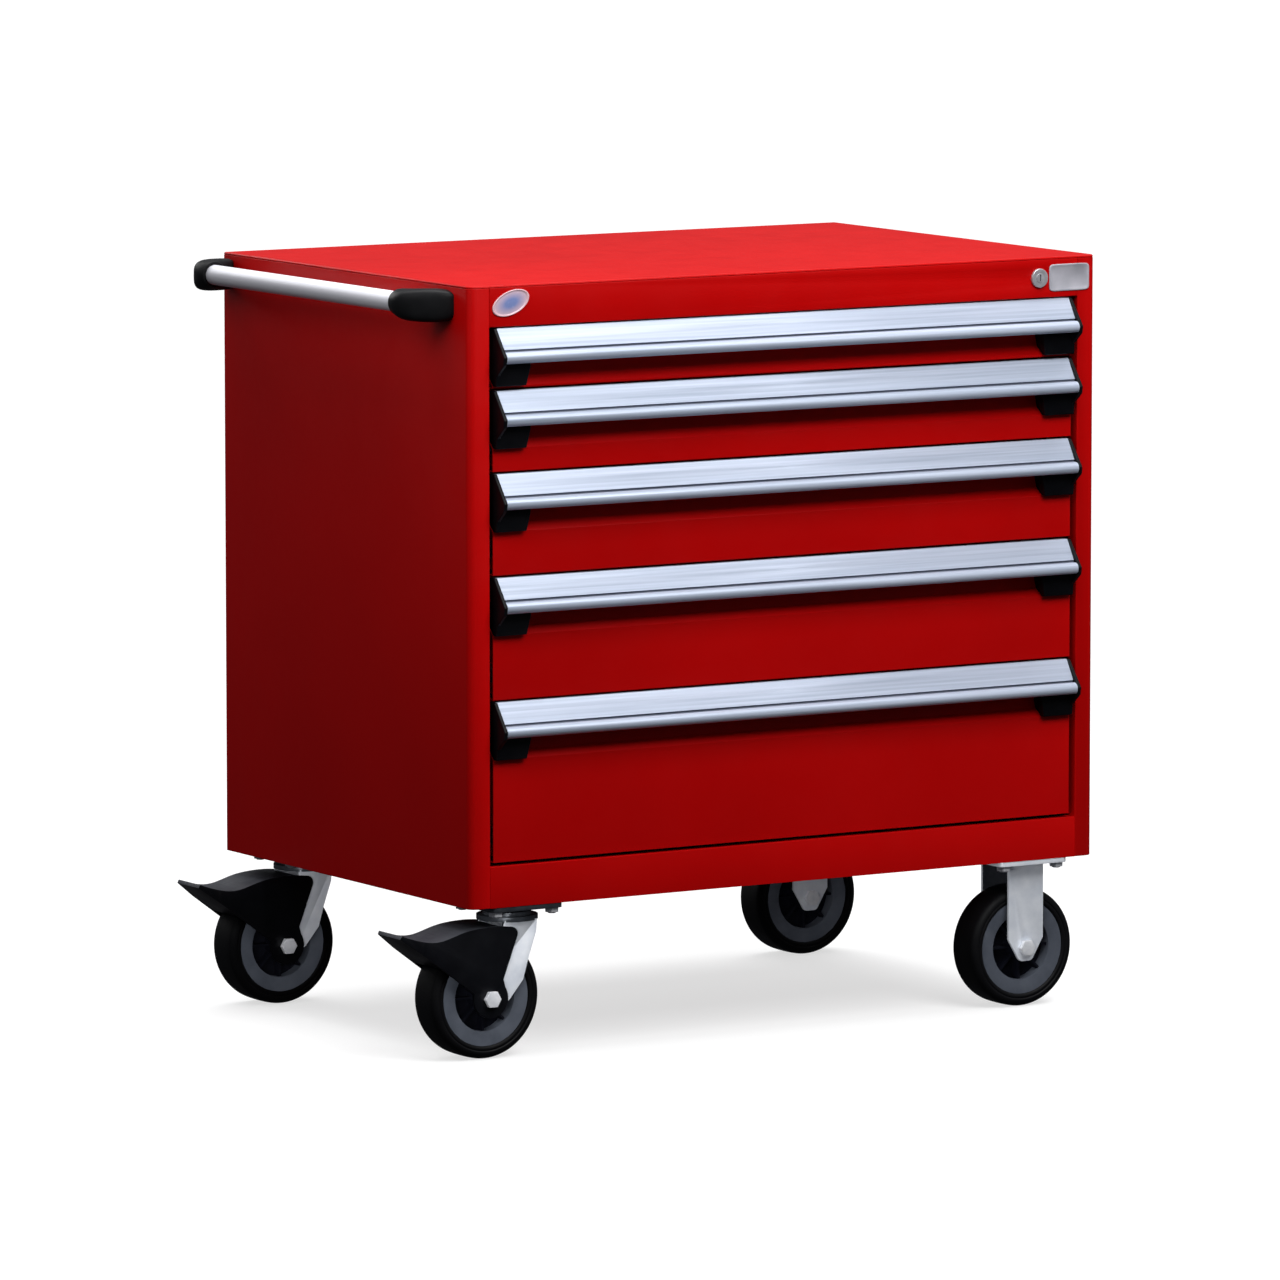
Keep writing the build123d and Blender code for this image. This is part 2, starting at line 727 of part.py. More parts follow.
def mount_bolts():
    """Bolt through the base pan and a caster plate, nut below."""
    head_z = base_z + top_sheet
    shank_zs = (plate_bottom - mount_bolt_end, head_z + through)
    bolts = []
    for x, y in bolt_places():
        outline = Pos(x, y) * RegularPolygon(mount_bolt_hexagon / 2, 6, major_radius=False)
        shank = along_z(Pos(x, y) * Circle(mount_bolt_radius), *shank_zs)
        head = along_z(outline, head_z, head_z + mount_bolt_head)
        nut = along_z(outline, plate_bottom - mount_bolt_head, plate_bottom)
        bolts.append(fused(shank, head, nut))
    return bolts


# ---- write every node ----
os.makedirs("parts", exist_ok=True)

left_side = side_panel()
write("side_panel_left", left_side)
write("side_panel_right", mirror(left_side, Plane.YZ))
write("back_panel", back_panel())
write("top_panel", top_panel())
write("base_pan", base_pan())
write("front_top_rail", front_top_rail())
write("slide_uprights", *slide_uprights())
write("slide_outer_members", *outer_members())

write("lock_cylinder", lock_body())
write("lock_plug", lock_plug())
write("lock_bar", lock_bar())
write("lock_bar_guides", *lock_bar_guides())
write("badge_plate", badge_plate())
write("label_plate", label_plate())

write("push_handle_tube", push_tube())
write("push_handle_bracket_front", push_bracket(front_bracket))
write("push_handle_bracket_rear", push_bracket(rear_bracket))

for index in range(drawer_count):
    number = index + 1
    levels = drawer_levels(index)
    write(f"drawer_{number}_tray", tray(levels))
    write(f"drawer_{number}_handle", drawer_handle(levels["top"]))
    write(f"drawer_{number}_handle_caps", *both_sides(handle_cap(levels["top"])))
    write(f"drawer_{number}_slide_inner", *slide_members(inner_member, levels["slide"]))
    write(f"drawer_{number}_slide_middle", *slide_members(middle_member, levels["slide"]))

fork, pedal, tyre, core = swivel_fork(), brake_pedal(), wheel_tyre(), wheel_core()
pedal_bolt, plain_bolt = axle_bolt(pedal_outer), axle_bolt(fork_inner + fork_sheet)
ends = {"front": -wheel_track, "rear": wheel_track}
for end, y in ends.items():
    swivel_axle = Pos(kingpin_x - trail, y, wheel_radius)
    rigid_axle = Pos(rigid_x, y, wheel_radius)
    write(f"{end}_swivel_fork", swivel_axle * fork)
    write(f"{end}_swivel_axle_bolt", swivel_axle * pedal_bolt)
    write(f"{end}_brake_pedal", swivel_axle * pedal)
    for side, axle in (("left", swivel_axle), ("right", rigid_axle)):
        write(f"{end}_{side}_tyre", axle * tyre)
        write(f"{end}_{side}_wheel_core", axle * core)
write("swivel_caster_plates", *[Pos(kingpin_x, y, 0) * swivel_plate() for y in ends.values()])
write("rigid_caster_brackets", *[Pos(rigid_x, y, 0) * rigid_bracket() for y in ends.values()])
write("rigid_axle_bolts", *[Pos(rigid_x, y, wheel_radius) * plain_bolt for y in ends.values()])
write("caster_mount_bolts", *mount_bolts())
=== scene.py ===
import json
import math

import bmesh
import bpy
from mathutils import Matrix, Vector


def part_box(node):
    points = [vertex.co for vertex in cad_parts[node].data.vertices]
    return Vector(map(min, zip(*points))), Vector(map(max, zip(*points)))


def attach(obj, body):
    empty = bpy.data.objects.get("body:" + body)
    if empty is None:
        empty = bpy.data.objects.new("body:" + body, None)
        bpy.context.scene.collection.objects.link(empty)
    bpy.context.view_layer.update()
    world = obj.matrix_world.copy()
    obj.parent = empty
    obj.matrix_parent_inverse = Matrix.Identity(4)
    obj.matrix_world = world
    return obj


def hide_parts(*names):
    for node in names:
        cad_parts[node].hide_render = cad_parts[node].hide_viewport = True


# Looks of the rolling tool chest, in metres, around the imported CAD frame.

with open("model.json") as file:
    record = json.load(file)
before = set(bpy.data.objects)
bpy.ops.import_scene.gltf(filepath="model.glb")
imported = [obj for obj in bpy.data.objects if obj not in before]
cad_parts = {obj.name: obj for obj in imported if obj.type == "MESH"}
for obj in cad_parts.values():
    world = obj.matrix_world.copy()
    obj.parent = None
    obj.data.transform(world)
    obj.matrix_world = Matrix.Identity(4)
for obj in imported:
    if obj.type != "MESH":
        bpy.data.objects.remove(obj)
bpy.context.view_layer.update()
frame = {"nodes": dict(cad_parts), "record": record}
nodes = frame["nodes"]
scene = bpy.context.scene
scene.view_settings.view_transform = "Standard"

DRAWERS = range(1, 6)
ENDS = ("front", "rear")
SIDES = ("left", "right")

# ---------------------------------------------------------------- named values
# Camera: angles in degrees, below the horizon and to the right of straight ahead, and how far it
# sees.
CAMERA_PLACE = (-6.4854, -10.5286, 1.9649)
CAMERA_DOWN = 6.93
CAMERA_RIGHT = 31.52
CAMERA_LENS = 277.0
CAMERA_SENSOR = 36.0
CAMERA_REACH = 200.0

# Surround: heights run from 0, straight down, to 1, straight up.
SKY_BELOW, BELOW_HEIGHT = (0.10, 0.10, 0.11), 0.35
SKY_HORIZON, HORIZON_HEIGHT = (0.12, 0.125, 0.14), 0.58
SKY_ABOVE, ABOVE_HEIGHT = (0.95, 0.97, 1.0), 0.90
SKY_STRENGTH = 0.42
SUN_STRENGTH = 2.9
SUN_SPREAD = math.radians(60)
SUN_TURN = (math.radians(-12), math.radians(8), 0.0)

# Floor: its own glow keeps it white round the chest, with a faint shadow under it.
FLOOR_HALF = 60.0
FLOOR_COLOUR = (0.36, 0.36, 0.36)
FLOOR_GLOW = 0.66

# Finishes: the part of a noise's range over which a colour or a value changes, and how little
# the lines of brushed metal change along their length.
NOISE_START, NOISE_END = 0.3, 0.7
BRUSH_STRETCH = 0.012
BRUSH_ANISOTROPY = 0.45

# Meshes: the gap that is welded, the bend that counts as flat and the one that counts as sharp.
WELD_GAP = 0.00001
FLAT_ANGLE = math.radians(0.5)
SHARP_ANGLE = math.radians(35)
EDGE_SEGMENTS = 3

# Repainted faces, which carry painted shade and painted light. CROWN_DEPTH is measured down from a
# swivel fork's top, to just under its crown plate; the crown above it gets painted shade. The
# handle's groove, in painted shade, lies between two depths below its top and two behind its nose.
# The rim ring is what lies farther than RIM_RING_RADIUS from the axle; the web and hub nearer in get
# painted shade. A face of a pedal gets a painted highlight if its normal points up more than
# PEDAL_LIT_SLOPE, and the side of a leg turned to its wheel gets painted shade if its normal points
# along Y more than SQUARE_ON.
CROWN_DEPTH = 0.0107
GROOVE_DROP = (0.0256, 0.0282)
GROOVE_BACK = (0.0088, 0.0134)
RIM_RING_RADIUS = 0.0418
PEDAL_LIT_SLOPE = 0.5
SQUARE_ON = 0.9

# Tyre: points beside the rim as (out from the rim, in from the face), then a round shoulder, its
# arc in degrees, and a tread that is slightly lower at a share of its half width than in the middle.
TYRE_SIDEWALL = [(0.0, 0.0026), (0.0016, 0.0012), (0.0048, 0.0003), (0.0052, 0.0009), (0.0060, 0.0009),
                 (0.0064, 0.0)]
TYRE_SHOULDER = 0.0085
TYRE_SHOULDER_INSET = 0.0004
TYRE_SHOULDER_ARC = (88, 6)
TYRE_CROWN = 0.0001
TYRE_CROWN_SHARE = 0.42

# Push handle brackets: the socket round the tube and the flat rim at its mouth, the mouth's outer
# radius, how far the moulding reaches out past the tube's axis, how far its middle sags below that
# axis where its outline is no longer round, and the width of its rounded edges.
SOCKET_PLAY = 0.0002
SOCKET_DEPTH = 0.012
SOCKET_RIM = 0.0012
MOUTH_RADIUS = 0.0162
BRACKET_REACH = 0.0178
BRACKET_SAG = 0.002
BRACKET_EDGE = 0.0012

# Badge: rings as (share of the radius, height above the rail), the rim from the outside in.
BADGE_TILT = math.radians(20)
BADGE_STEPS = 96
BADGE_RIM = [(1.0, 0.0), (1.0, 0.0011), (0.985, 0.0016), (0.955, 0.0018), (0.915, 0.0016),
             (0.895, 0.0010)]
BADGE_FIELD = [(0.80, 0.0011), (0.60, 0.0013), (0.40, 0.0015), (0.20, 0.0016), (0.05, 0.00165)]

# Blank plate: rings as (distance in from the edge, height above the rail).
LABEL_RINGS = [(0.0, 0.0), (0.0, 0.0009), (0.0006, 0.0012), (0.0020, 0.0012), (0.0026, 0.0007)]
LABEL_POWER = 9.0
LABEL_STEPS = 64


# ---------------------------------------------------------------- shader building blocks
MATERIALS = {}


def material(name):
    """A new material, kept by its name; gives its node tree and its main shader."""
    mat = bpy.data.materials.new(name)
    mat.use_nodes = True
    MATERIALS[name] = mat
    return mat.node_tree, mat.node_tree.nodes["Principled BSDF"]


def noise(tree, scale, detail=3.0, stretch=(1.0, 1.0, 1.0)):
    """Noise in object metres, drawn out along an axis by a small stretch value."""
    coords = tree.nodes.new("ShaderNodeTexCoord")
    mapping = tree.nodes.new("ShaderNodeMapping")
    mapping.inputs["Scale"].default_value = stretch
    texture = tree.nodes.new("ShaderNodeTexNoise")
    texture.inputs["Scale"].default_value = scale
    texture.inputs["Detail"].default_value = detail
    tree.links.new(coords.outputs["Object"], mapping.inputs["Vector"])
    tree.links.new(mapping.outputs["Vector"], texture.inputs["Vector"])
    return texture.outputs["Fac"]


def colour_ramp(tree, factor, low, high, start=NOISE_START, end=NOISE_END):
    """Colour that runs from low to high as the factor goes from start to end."""
    ramp = tree.nodes.new("ShaderNodeValToRGB")
    first, last = ramp.color_ramp.elements
    first.position, first.color = start, (*low, 1)
    last.position, last.color = end, (*high, 1)
    tree.links.new(factor, ramp.inputs["Fac"])
    return ramp.outputs["Color"]


def value_range(tree, factor, low, high, start=NOISE_START, end=NOISE_END):
    """Value that runs from low to high as the factor goes from start to end."""
    remap = tree.nodes.new("ShaderNodeMapRange")
    remap.inputs["From Min"].default_value = start
    remap.inputs["From Max"].default_value = end
    remap.inputs["To Min"].default_value = low
    remap.inputs["To Max"].default_value = high
    tree.links.new(factor, remap.inputs["Value"])
    return remap.outputs["Result"]


def add_bump(tree, shader, height, distance, strength, under=None):
    """Bump on a shader, over an earlier bump if one is given."""
    bump = tree.nodes.new("ShaderNodeBump")
    bump.inputs["Strength"].default_value = strength
    bump.inputs["Distance"].default_value = distance
    tree.links.new(height, bump.inputs["Height"])
    if under is not None:
        tree.links.new(under, bump.inputs["Normal"])
    tree.links.new(bump.outputs["Normal"], shader.inputs["Normal"])
    return bump.outputs["Normal"]


def surface(name, low, high, rough, metallic=0.0, mottle=8.0, grain=600.0, grain_depth=0.00004,
            stretch=(1.0, 1.0, 1.0), wear_scale=25.0, specular=0.5):
    """Mottled colour, uneven roughness and a fine grain: the base of most finishes here."""
    tree, shader = material(name)
    mottling = noise(tree, mottle, detail=4.0, stretch=stretch)
    tree.links.new(colour_ramp(tree, mottling, low, high), shader.inputs["Base Color"])
    wear = noise(tree, wear_scale, detail=5.0, stretch=stretch)
    tree.links.new(value_range(tree, wear, *rough), shader.inputs["Roughness"])
    shader.inputs["Metallic"].default_value = metallic
    shader.inputs["Specular IOR Level"].default_value = specular
    broad_waves = noise(tree, wear_scale, detail=2.0, stretch=stretch)
    broad = add_bump(tree, shader, broad_waves, distance=3 * grain_depth, strength=0.4)
    fine_grain = noise(tree, grain, detail=2.0, stretch=stretch)
    add_bump(tree, shader, fine_grain, distance=grain_depth, strength=0.8, under=broad)
    return shader


def brushed(name, low, high, rough, along, metallic=1.0):
    """Metal with fine lines along one axis."""
    stretch = [BRUSH_STRETCH if axis == along else 1.0 for axis in "xyz"]
    shader = surface(name, low, high, rough, metallic, mottle=260.0, grain=900.0, grain_depth=0.00003,
                     stretch=stretch, wear_scale=180.0)
    shader.inputs["Anisotropic"].default_value = BRUSH_ANISOTROPY


# ---------------------------------------------------------------- materials
# Paint.
surface("housing_paint", (0.46, 0.0008, 0.0010), (0.52, 0.0015, 0.0015), rough=(0.36, 0.46),
        mottle=3.0, grain=850.0, specular=0.10)
surface("drawer_paint", (0.46, 0.0008, 0.0010), (0.51, 0.0013, 0.0015), rough=(0.38, 0.48),
        mottle=4.0, grain=850.0, specular=0.10)

# Aluminium and steel.
brushed("handle_aluminium", (0.39, 0.45, 0.56), (0.57, 0.63, 0.76), rough=(0.42, 0.56), along="x",
        metallic=0.22)
brushed("groove_shadow", (0.10, 0.12, 0.17), (0.18, 0.20, 0.26), rough=(0.45, 0.60), along="x",
        metallic=0.30)
brushed("tube_aluminium", (0.80, 0.80, 0.86), (0.88, 0.88, 0.94), rough=(0.36, 0.48), along="y",
        metallic=0.10)
brushed("slide_steel", (0.42, 0.44, 0.47), (0.54, 0.56, 0.58), rough=(0.28, 0.44), along="y")
surface("zinc_steel", (0.66, 0.70, 0.77), (0.82, 0.85, 0.90), rough=(0.34, 0.50),
        metallic=0.20, mottle=45.0, grain=500.0, grain_depth=0.00005)
# Painted shade: near-black steel for the swivel plates, the fork crowns and the bracket-leg sides facing
# the wheels, which lie in the shade under the housing.
surface("painted_shade_steel", (0.035, 0.040, 0.050), (0.070, 0.078, 0.090), rough=(0.30, 0.50),
        metallic=0.5, mottle=60.0, grain=500.0, grain_depth=0.00005)
surface("bolt_steel", (0.66, 0.68, 0.72), (0.82, 0.83, 0.86), rough=(0.30, 0.44),
        metallic=0.30, mottle=120.0, grain=700.0)
surface("lock_chrome", (0.46, 0.46, 0.49), (0.62, 0.62, 0.66), rough=(0.18, 0.30),
        metallic=0.50, mottle=90.0, grain=700.0, grain_depth=0.00001)

# Plastic and rubber.
surface("cap_plastic", (0.0022, 0.0024, 0.0036), (0.0036, 0.0038, 0.0052), rough=(0.38, 0.52),
        mottle=60.0, grain=1400.0, grain_depth=0.00006, specular=0.14)
surface("bracket_plastic", (0.0070, 0.0072, 0.0080), (0.0105, 0.0108, 0.0118), rough=(0.34, 0.50),
        mottle=50.0, grain=1300.0, grain_depth=0.00007, specular=0.08)
surface("pedal_plastic", (0.0028, 0.0030, 0.0045), (0.0050, 0.0054, 0.0075), rough=(0.32, 0.46),
        mottle=40.0, grain=1300.0, grain_depth=0.00006, specular=0.18)
# Painted highlight: a lighter grey for the pedals' upward faces, where the overhead light falls.
surface("pedal_painted_light", (0.034, 0.036, 0.044), (0.050, 0.053, 0.062), rough=(0.40, 0.55),
        mottle=40.0, grain=1300.0, grain_depth=0.00006, specular=0.12)
surface("tyre", (0.0018, 0.0018, 0.0026), (0.0040, 0.0040, 0.0050), rough=(0.48, 0.68),
        mottle=30.0, grain=900.0, grain_depth=0.00010, specular=0.16)
surface("wheel_core", (0.058, 0.066, 0.084), (0.080, 0.090, 0.112), rough=(0.42, 0.58),
        mottle=45.0, grain=900.0, grain_depth=0.00006, specular=0.25)
# Painted shade: darker plastic for the wheel cores' recessed web, ribs and hub.
surface("hub_painted_shade", (0.0020, 0.0023, 0.0050), (0.0040, 0.0045, 0.0085), rough=(0.50, 0.65),
        mottle=60.0, grain=900.0, grain_depth=0.00006, specular=0.10)
surface("badge_plastic", (0.70, 0.42, 0.47), (0.80, 0.54, 0.58), rough=(0.20, 0.32),
        mottle=60.0, grain=400.0, grain_depth=0.00002)
surface("label_plastic", (0.34, 0.34, 0.38), (0.48, 0.47, 0.52), rough=(0.34, 0.5),
        mottle=30.0, grain=600.0)


# ---------------------------------------------------------------- CAD nodes: finish and edges
# Width of the rounded edges by finish.
EDGE_WIDTH = {
    "housing_paint": 0.0012, "drawer_paint": 0.0006, "handle_aluminium": 0.0005, "tube_aluminium": 0.0004,
    "slide_steel": 0.0003, "zinc_steel": 0.0012, "bolt_steel": 0.0008, "lock_chrome": 0.0004,
    "cap_plastic": 0.0012, "bracket_plastic": 0.0015, "pedal_plastic": 0.0022, "tyre": 0.0008,
    "wheel_core": 0.0009, "badge_plastic": 0.0004, "label_plastic": 0.0004,
}


def node_centre(name):
    """Middle of a CAD node's box."""
    low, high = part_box(name)
    return (low + high) / 2


def round_edges(piece, width):
    """Rounds sharp edges."""
    edges = piece.modifiers.new("edges", "BEVEL")
    edges.width = width
    edges.segments = EDGE_SEGMENTS
    edges.limit_method = "ANGLE"
    edges.angle_limit = SHARP_ANGLE
    edges.harden_normals = True


def finish_node(node, slot):
    """Gives a CAD node its material, softened edges and clean shading."""
    node.data.materials.clear()
    node.data.materials.append(MATERIALS[slot])
    for face in node.data.polygons:
        face.material_index = 0
    merge = node.modifiers.new("weld", "WELD")
    merge.merge_threshold = WELD_GAP
    flat = node.modifiers.new("flat", "DECIMATE")
    flat.decimate_type = "DISSOLVE"
    flat.angle_limit = FLAT_ANGLE
    round_edges(node, EDGE_WIDTH[slot])
    node.data.shade_smooth()


def finish_nodes():
    """Every CAD node in the finish that the record names for it."""
    for entry in frame["record"]["subparts"]:
        finish_node(nodes[entry["node"]], entry["material_slot"])


def repaint(piece, finish, chosen):
    """Gives the faces of a piece that pass a test another material."""
    piece.data.materials.append(MATERIALS[finish])
    extra = len(piece.data.materials) - 1
    for face in piece.data.polygons:
        if chosen(face):
            face.material_index = extra


def finish_casters():
    """Painted shade on the swivel heads and the bracket legs' insides, pale zinc legs, and a painted
    highlight on the pedals' upward faces.
    """
    # Painted shade: the swivel plates all over, then each fork's crown.
    repaint(nodes["swivel_caster_plates"], "painted_shade_steel", lambda face: True)
    for end in ENDS:
        fork = nodes[f"{end}_swivel_fork"]
        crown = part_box(fork.name)[1].z - CROWN_DEPTH
        repaint(fork, "painted_shade_steel", lambda face: face.center.z > crown)
        # Painted highlight: the pedal's upward faces in a lighter grey.
        repaint(nodes[f"{end}_brake_pedal"], "pedal_painted_light", lambda face: face.normal.z > PEDAL_LIT_SLOPE)
    middles = [node_centre(f"{end}_right_tyre").y for end in ENDS]
    # Painted shade: the sides of the rigid brackets' legs that face the wheels.
    repaint(nodes["rigid_caster_brackets"], "painted_shade_steel", lambda face: faces_wheel(face, middles))


def faces_wheel(face, middles):
    """True for the side of a bracket leg turned towards its wheel, which gets painted shade."""
    middle = min(middles, key=lambda y: abs(y - face.center.y))
    return abs(face.normal.y) > SQUARE_ON and (middle - face.center.y) * face.normal.y > 0


def finish_wheel_cores():
    """Grey rim ring; the recessed web, ribs and hub painted darker as shade."""
    for end in ENDS:
        for side in SIDES:
            core = nodes[f"{end}_{side}_wheel_core"]
            axle = node_centre(core.name)
            # Painted shade on the recessed web, ribs and hub inside the rim ring.
            repaint(core, "hub_painted_shade", lambda face: from_axle(face, axle) <= RIM_RING_RADIUS)


def from_axle(face, axle):
    """Distance of a face's middle from an axle along Y."""
    return math.hypot(face.center.x - axle.x, face.center.z - axle.z)


def finish_handles():
    """Darkens the groove that runs along each handle."""
    for number in DRAWERS:
        handle = nodes[f"drawer_{number}_handle"]
        nose_y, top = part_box(handle.name)[0].y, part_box(handle.name)[1].z
        repaint(handle, "groove_shadow", lambda face: in_groove(face.center, nose_y, top))


def in_groove(centre, nose_y, top):
    """True for a point in the groove of the handle that has this nose and this top."""
    drop, back = top - centre.z, centre.y - nose_y
    return GROOVE_DROP[0] < drop < GROOVE_DROP[1] and GROOVE_BACK[0] < back < GROOVE_BACK[1]


# ---------------------------------------------------------------- mesh helpers
def piece_from(name, points, faces, slot, body, replaced):
    """A mesh piece that stands for CAD nodes and rides on their body."""
    mesh = bpy.data.meshes.new(name)
    mesh.from_pydata(points, [], faces)
    work = bmesh.new()
    work.from_mesh(mesh)
    bmesh.ops.recalc_face_normals(work, faces=work.faces)
    work.to_mesh(mesh)
    work.free()
    mesh.shade_smooth()
    mesh.materials.append(MATERIALS[slot])
    piece = bpy.data.objects.new(name, mesh)
    scene.collection.objects.link(piece)
    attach(piece, body)
    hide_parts(*replaced)
    return piece


def rings_to_faces(count, ring, closed_rings=False):
    """Quads between rings of points; the last ring joins the first if asked."""
    faces = []
    for i in range(count if closed_rings else count - 1):
        a, b = i * ring, (i + 1) % count * ring
        for j in range(ring):
            k = (j + 1) % ring
            faces.append((a + j, a + k, b + k, b + j))
    return faces


def capped_loft(rings):
    """Points and faces of a skin through rings of points, closed by a face at each end."""
    ring = len(rings[0])
    points = [point for outline in rings for point in outline]
    faces = rings_to_faces(len(rings), ring)
    faces.append(tuple(range(ring)))
    faces.append(tuple(reversed(range(len(points) - ring, len(points)))))
    return points, faces


def lathe_y(profile, centre, steps=144):
    """Closed profile of (radius, y) turned about an axis along Y through a centre."""
    points = []
    for step in range(steps):
        turn = 2 * math.pi * step / steps
        for radius, y in profile:
            points.append((centre[0] + radius * math.cos(turn), centre[1] + y,
                           centre[2] + radius * math.sin(turn)))
    return points, rings_to_faces(steps, len(profile), closed_rings=True)


def arc_points(centre, radius, start, end, steps):
    """Points on an arc in the profile plane, angles in degrees."""
    turns = [math.radians(start + (end - start) * i / steps) for i in range(steps + 1)]
    return [(centre[0] + radius * math.cos(t), centre[1] + radius * math.sin(t)) for t in turns]


def superellipse(centre, half, power, steps=48):
    """Rounded outline in the XZ plane; a power of 2 is an ellipse and a high one nearly a box."""
    outline = []
    for step in range(steps):
        turn = 2 * math.pi * step / steps
        c, s = math.cos(turn), math.sin(turn)
        outline.append((centre[0] + half[0] * math.copysign(abs(c) ** (2 / power), c),
                        centre[1] + half[1] * math.copysign(abs(s) ** (2 / power), s)))
    return outline


# ---------------------------------------------------------------- tyres
def tyre_profile(inner, outer, half):
    """Bead, sidewall with a moulded ring, round shoulder and crowned tread, mirrored."""
    upper = [(inner + out, half - back) for out, back in TYRE_SIDEWALL]
    shoulder_centre = (outer - TYRE_SHOULDER - TYRE_SHOULDER_INSET, half - TYRE_SHOULDER)
    upper += arc_points(shoulder_centre, TYRE_SHOULDER, *TYRE_SHOULDER_ARC, steps=9)
    upper += [(outer - TYRE_CROWN, half * TYRE_CROWN_SHARE), (outer, 0.0)]
    lower = [(radius, -y) for radius, y in reversed(upper[:-1])]
    return upper + lower


def make_tyres():
    """A smooth turned tyre on each wheel, fitted to the CAD tyre and to the rim inside it."""
    for end in ENDS:
        for side in SIDES:
            node = f"{end}_{side}_tyre"
            low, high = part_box(node)
            centre = node_centre(node)
            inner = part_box(f"{end}_{side}_wheel_core")[1].x - centre.x
            profile = tyre_profile(inner, (high.z - low.z) / 2, (high.y - low.y) / 2)
            points, faces = lathe_y(profile, centre)
            piece_from(f"{node}_rubber", points, faces, "tyre", f"{end}_{side}_wheel", [node])


# ---------------------------------------------------------------- push handle brackets
def make_bracket(name, stations):
    """Moulded bracket: outlines lofted along the tube, cut flat where they meet the side panel.

    A station is y, the outermost x, the innermost x, half the height and the outline's power.
    """
    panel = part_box("side_panel_left")[0].x
    tube = node_centre("push_handle_tube")
    tube_low, tube_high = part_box("push_handle_tube")
    socket = (tube_high.z - tube_low.z) / 2 + SOCKET_PLAY
    mouth = stations[0][0]
    socket_end = mouth + math.copysign(SOCKET_DEPTH, mouth)
    rings = []
    for y, radius in ((socket_end, socket), (mouth, socket), (mouth, socket + SOCKET_RIM)):
        outline = superellipse((tube.x, tube.z), (radius, radius), 2.0)
        rings.append([(x, y, z) for x, z in outline])
    for y, outer, inner, half_height, power in stations:
        centre = ((outer + inner) / 2, tube.z - BRACKET_SAG * min(1.0, (power - 2.0)))
        outline = superellipse(centre, ((inner - outer) / 2, half_height), power)
        rings.append([(min(x, panel), y, z) for x, z in outline])
    points, faces = capped_loft(rings)
    piece = piece_from(f"{name}_moulding", points, faces, "bracket_plastic", "housing", [name])
    round_edges(piece, BRACKET_EDGE)


def make_brackets():
    """Both brackets start round at the tube's mouth, swell towards the panel and taper off."""
    tube_x = node_centre("push_handle_tube").x
    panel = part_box("side_panel_left")[0].x
    lip = tube_x - BRACKET_REACH
    make_bracket("push_handle_bracket_front", [
        (-0.200, tube_x - MOUTH_RADIUS, tube_x + MOUTH_RADIUS, MOUTH_RADIUS, 2.0),
        (-0.205, tube_x - 0.0170, tube_x + 0.0180, 0.0172, 2.1),
        (-0.212, lip, tube_x + 0.030, 0.0182, 2.6),
        (-0.220, lip, panel + 0.010, 0.0192, 3.2),
        (-0.230, lip + 0.003, panel + 0.012, 0.0198, 3.6),
        (-0.241, lip + 0.012, panel + 0.012, 0.0202, 3.8),
        (-0.250, lip + 0.021, panel + 0.012, 0.0200, 3.6),
        (-0.257, lip + 0.030, panel + 0.010, 0.0188, 3.2),
        (-0.263, lip + 0.040, panel + 0.008, 0.0165, 2.8),
        (-0.2665, lip + 0.047, panel + 0.006, 0.0138, 2.5),
        (-0.2678, lip + 0.052, panel + 0.004, 0.0110, 2.3),
    ])
    make_bracket("push_handle_bracket_rear", [
        (0.262, tube_x - MOUTH_RADIUS, tube_x + MOUTH_RADIUS, MOUTH_RADIUS, 2.0),
        (0.266, tube_x - 0.0172, tube_x + 0.0182, 0.0175, 2.1),
        (0.272, lip, tube_x + 0.032, 0.0188, 2.7),
        (0.280, lip, panel + 0.008, 0.0196, 3.2),
        (0.288, lip + 0.002, panel + 0.010, 0.0200, 3.6),
        (0.294, lip + 0.008, panel + 0.010, 0.0196, 3.4),
        (0.298, lip + 0.017, panel + 0.006, 0.0182, 3.0),
        (0.2995, lip + 0.026, panel + 0.002, 0.0160, 2.8),
    ])


# ---------------------------------------------------------------- front trim
def oval_half(low, high):
    """Half axes of the tilted oval that fills a box."""
    half_x, half_z = (high.x - low.x) / 2, (high.z - low.z) / 2
    both = half_x ** 2 + half_z ** 2
    apart = (half_x ** 2 - half_z ** 2) / math.cos(2 * BADGE_TILT)
    return math.sqrt((both + apart) / 2), math.sqrt((both - apart) / 2)


def oval_ring(low, high, share, height):
    """Ring of the tilted oval on the front face, at a share of its radius."""
    middle_x, middle_z = (low.x + high.x) / 2, (low.z + high.z) / 2
    long_half, short_half = oval_half(low, high)
    tilt_cos, tilt_sin = math.cos(BADGE_TILT), math.sin(BADGE_TILT)
    ring = []
    for step in range(BADGE_STEPS):
        turn = 2 * math.pi * step / BADGE_STEPS
        along = share * long_half * math.cos(turn)
        across = share * short_half * math.sin(turn)
        ring.append((middle_x + along * tilt_cos - across * tilt_sin, high.y - height,
                     middle_z + along * tilt_sin + across * tilt_cos))
    return ring


def make_badge():
    """Plain oval badge: a raised rim round a slightly domed pale blue field."""
    low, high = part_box("badge_plate")
    points, faces = capped_loft([oval_ring(low, high, *ring) for ring in BADGE_RIM + BADGE_FIELD])
    badge = piece_from("oval_badge", points, faces, "badge_plastic", "housing", ["badge_plate"])
    badge_field(low, high)
    rim_faces = (len(BADGE_RIM) - 1) * BADGE_STEPS
    back_face = len(faces) - 2
    repaint(badge, "badge_field", lambda face: face.index >= rim_faces and face.index != back_face)


